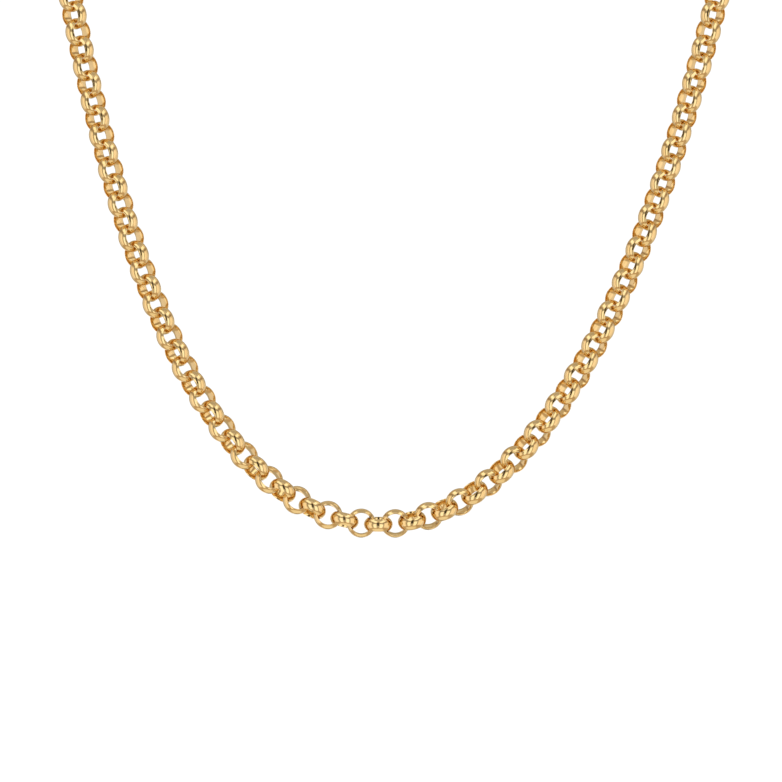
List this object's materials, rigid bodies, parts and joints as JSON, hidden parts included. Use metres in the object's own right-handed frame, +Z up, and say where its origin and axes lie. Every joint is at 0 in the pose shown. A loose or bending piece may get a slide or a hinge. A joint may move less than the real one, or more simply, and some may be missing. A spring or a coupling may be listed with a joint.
{
  "type": "rolo chain necklace",
  "caption": "Yellow gold rolo chain necklace in its worn form: wide round domed links, each a quarter turn from the next, closed at the nape by a hook clasp on jump rings.",
  "frame": {"origin": "the seat on the nape: the middle of the back of the loop, where the links' inner side meets the neck", "axes": "+Z up, +Y from the chest towards the back, +X to the right of the picture; the front of the necklace hangs in a plane of constant Y"},
  "size_m": [0.1315, 0.08, 0.1587],
  "materials": {
    "chain_gold": "polished yellow gold",
    "clasp_gold": "polished yellow gold"
  },
  "bodies": {
    "root": {"chain_left": "chain_gold", "chain_right": "chain_gold", "jump_ring_left": "clasp_gold", "jump_ring_right": "clasp_gold", "clasp": "clasp_gold"}
  },
  "joints": []
}
